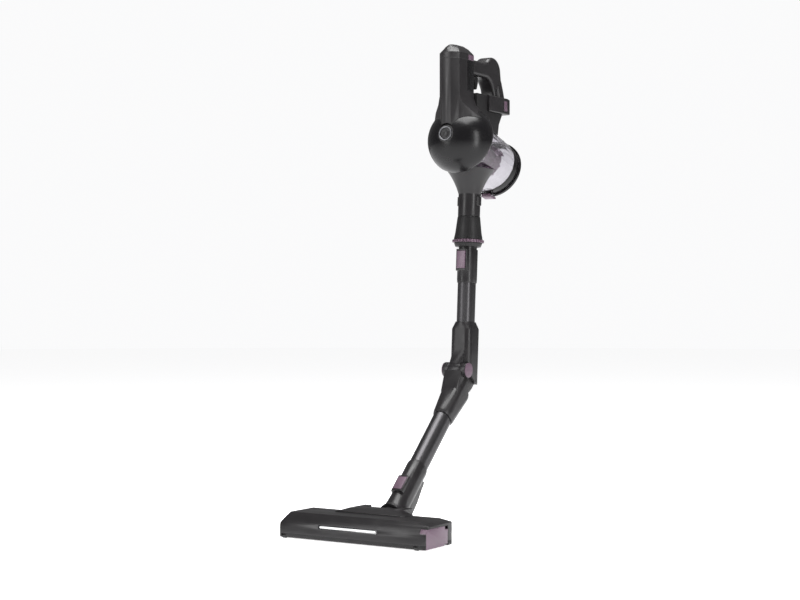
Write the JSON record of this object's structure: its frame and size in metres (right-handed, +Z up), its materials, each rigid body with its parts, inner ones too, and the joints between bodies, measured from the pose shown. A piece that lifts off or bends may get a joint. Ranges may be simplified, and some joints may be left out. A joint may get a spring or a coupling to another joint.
{
  "type": "cordless stick vacuum",
  "caption": "Cordless stick vacuum: hand unit with bin, battery and trigger, wand with a bending knee, and a pivoting floor head with a driven brush.",
  "frame": {"origin": "on the floor, under the middle of the floor head sole strip", "axes": "+Z up, -Y the way the floor head points, +X to the user's left"},
  "size_m": [0.332, 0.5894, 0.996],
  "materials": {
    "dark_shell": "fine satin moulded",
    "dark_plain": "matt moulded",
    "black_plain": "matt moulded",
    "gloss_black": "polished",
    "smoked_lens": "smoked, polished",
    "soft_black": "soft strip",
    "mauve": "satin moulded",
    "mauve_filter": "satin moulded",
    "screw_steel": "bright",
    "motor_steel": "brushed",
    "motor_alloy": "cast and turned",
    "bristle": "stiff nylon tufts",
    "belt_rubber": "ribbed",
    "wheel_rubber": "matt",
    "tube_metal": "anodised grey, satin",
    "badge_silver": "turned",
    "board_green": "solder mask",
    "cell_wrap": "sleeved",
    "filter_felt": "pleated felt",
    "smoked_clear": "smoked clear plastic",
    "clear": "clear plastic"
  },
  "bodies": {
    "hand_unit": {"front_dome": "gloss_black", "badge_disc": "badge_silver", "drum_shell": "dark_shell", "column_shell": "dark_shell", "side_inlays": "gloss_black", "top_cap": "dark_shell", "nozzle": "dark_shell", "handle": "dark_shell", "dock_housing": "dark_plain", "control_board": "board_green", "hand_screws": "screw_steel", "suction_motor": "motor_alloy", "exhaust_filter": "filter_felt"},
    "trigger": {"trigger": "dark_plain"},
    "power_button": {"power_button": "mauve"},
    "impeller": {"impeller": "motor_alloy"},
    "dust_brush": {"brush_ring": "dark_plain", "ring_comb": "mauve"},
    "battery": {"battery_case": "dark_shell", "battery_cells": "cell_wrap"},
    "battery_key": {"battery_key": "mauve"},
    "bin": {"bin_cup": "smoked_clear", "cyclone_shroud": "mauve_filter", "cyclone_cone": "black_plain", "lid_pin": "screw_steel"},
    "filter": {"filter_frame": "mauve_filter", "filter_pad": "filter_felt"},
    "lid": {"lid_frame": "gloss_black", "lid_window": "clear"},
    "lid_latch": {"lid_latch": "mauve"},
    "upper_wand": {"wand_collar": "dark_shell", "upper_tube": "tube_metal", "knee_upper_housing": "dark_shell", "knee_pin": "screw_steel", "knee_discs": "mauve"},
    "wand_button": {"wand_release_button": "mauve"},
    "lower_wand": {"knee_lower_housing": "dark_shell", "lower_tube": "tube_metal"},
    "knee_lever": {"knee_lever": "gloss_black"},
    "neck": {"neck_body": "dark_shell", "neck_strip": "gloss_black"},
    "neck_button": {"head_release_button": "mauve"},
    "yoke": {"neck_yoke": "dark_plain"},
    "head": {"head_cover": "dark_shell", "head_base": "dark_plain", "pivot_housing": "dark_shell", "led_lens": "smoked_lens", "head_screws": "screw_steel", "sole_strip": "soft_black", "head_motor": "motor_steel", "drive_belt": "belt_rubber", "brush_tunnel": "black_plain", "wheel_axles": "screw_steel"},
    "brush": {"brush_core": "mauve", "brush_bristles": "bristle", "brush_pulley": "black_plain"},
    "motor_rotor": {"motor_pulley": "screw_steel"},
    "end_cap": {"end_cap": "mauve"},
    "rear_wheels": {"rear_wheels": "wheel_rubber"},
    "front_rollers": {"front_rollers": "black_plain"}
  },
  "joints": [
    {"name": "wand_detach", "type": "slide", "parent": "hand_unit", "child": "upper_wand", "axis": [0, -0.061, -0.9981], "range_m": [0, 0.06]},
    {"name": "dust_brush_slide", "type": "slide", "parent": "hand_unit", "child": "dust_brush", "axis": [0, -0.061, -0.9981], "range_m": [0, 0.027]},
    {"name": "wand_button_press", "type": "slide", "parent": "upper_wand", "child": "wand_button", "axis": [0, 0.9981, -0.061], "range_m": [0, 0.002], "stiffness_N_per_m": 800},
    {"name": "knee_bend", "type": "hinge", "parent": "upper_wand", "child": "lower_wand", "pos_m": [0, 0.3512, 0.3156], "axis": [1, 0, 0], "range_deg": [-39, 43]},
    {"name": "head_detach", "type": "slide", "parent": "lower_wand", "child": "neck", "axis": [0, -0.7254, -0.6884], "range_m": [0, 0.05]},
    {"name": "neck_button_press", "type": "slide", "parent": "neck", "child": "neck_button", "axis": [0, 0.6884, -0.7254], "range_m": [0, 0.002], "stiffness_N_per_m": 800},
    {"name": "knee_lever_press", "type": "hinge", "parent": "lower_wand", "child": "knee_lever", "pos_m": [0, 0.34726, 0.23259], "axis": [1, 0, 0], "range_deg": [0, 3], "stiffness_Nm_per_rad": 0.6},
    {"name": "neck_swivel", "type": "hinge", "parent": "neck", "child": "yoke", "pos_m": [0, 0.066, 0.033], "axis": [0, 0.9836, 0.1804], "range_deg": [-60, 60]},
    {"name": "head_pitch", "type": "hinge", "parent": "yoke", "child": "head", "pos_m": [0, 0.066, 0.033], "axis": [1, 0, 0], "range_deg": [-45, 25]},
    {"name": "brush_spin", "type": "hinge", "parent": "head", "child": "brush", "pos_m": [0, -0.025, 0.0195], "axis": [1, 0, 0], "continuous": true},
    {"name": "motor_spin", "type": "hinge", "parent": "head", "child": "motor_rotor", "pos_m": [-0.14, 0.0105, 0.03], "axis": [1, 0, 0], "continuous": true},
    {"name": "end_cap_pull", "type": "slide", "parent": "head", "child": "end_cap", "axis": [1, 0, 0], "range_m": [0, 0.02]},
    {"name": "rear_wheels_spin", "type": "hinge", "parent": "head", "child": "rear_wheels", "pos_m": [0, 0.0365, 0.011], "axis": [1, 0, 0], "continuous": true},
    {"name": "front_rollers_spin", "type": "hinge", "parent": "head", "child": "front_rollers", "pos_m": [0, -0.0455, 0.004], "axis": [1, 0, 0], "continuous": true},
    {"name": "bin_slide", "type": "slide", "parent": "hand_unit", "child": "bin", "axis": [0, 0.9421, -0.3355], "range_m": [0, 0.06]},
    {"name": "filter_slide", "type": "slide", "parent": "hand_unit", "child": "filter", "axis": [0, 0.9421, -0.3355], "range_m": [0, 0.03]},
    {"name": "lid_open", "type": "hinge", "parent": "bin", "child": "lid", "pos_m": [0, 0.53526, 0.81015], "axis": [1, 0, 0], "range_deg": [0, 80]},
    {"name": "lid_latch_press", "type": "hinge", "parent": "bin", "child": "lid_latch", "pos_m": [0, 0.48088, 0.69024], "axis": [-1, 0, 0], "range_deg": [0, 8], "stiffness_Nm_per_rad": 0.3},
    {"name": "trigger_pull", "type": "slide", "parent": "hand_unit", "child": "trigger", "axis": [0, 1, 0], "range_m": [0, 0.004], "stiffness_N_per_m": 400},
    {"name": "power_press", "type": "slide", "parent": "hand_unit", "child": "power_button", "axis": [0, -1, 0], "range_m": [0, 0.0015], "stiffness_N_per_m": 800},
    {"name": "battery_slide", "type": "slide", "parent": "hand_unit", "child": "battery", "axis": [0, 1, 0], "range_m": [0, 0.06]},
    {"name": "battery_key_press", "type": "slide", "parent": "battery", "child": "battery_key", "axis": [-1, 0, 0], "range_m": [0, 0.0008], "stiffness_N_per_m": 800},
    {"name": "impeller_spin", "type": "hinge", "parent": "hand_unit", "child": "impeller", "pos_m": [0, 0.371, 0.799], "axis": [0, 0.9421, -0.3355], "continuous": true}
  ],
  "couplings": [
    {"joint": "dust_brush_slide", "follows": "wand_detach", "ratio": 0.45},
    {"joint": "filter_slide", "follows": "bin_slide", "ratio": 0.5},
    {"joint": "motor_spin", "follows": "brush_spin", "ratio": 1.8}
  ]
}
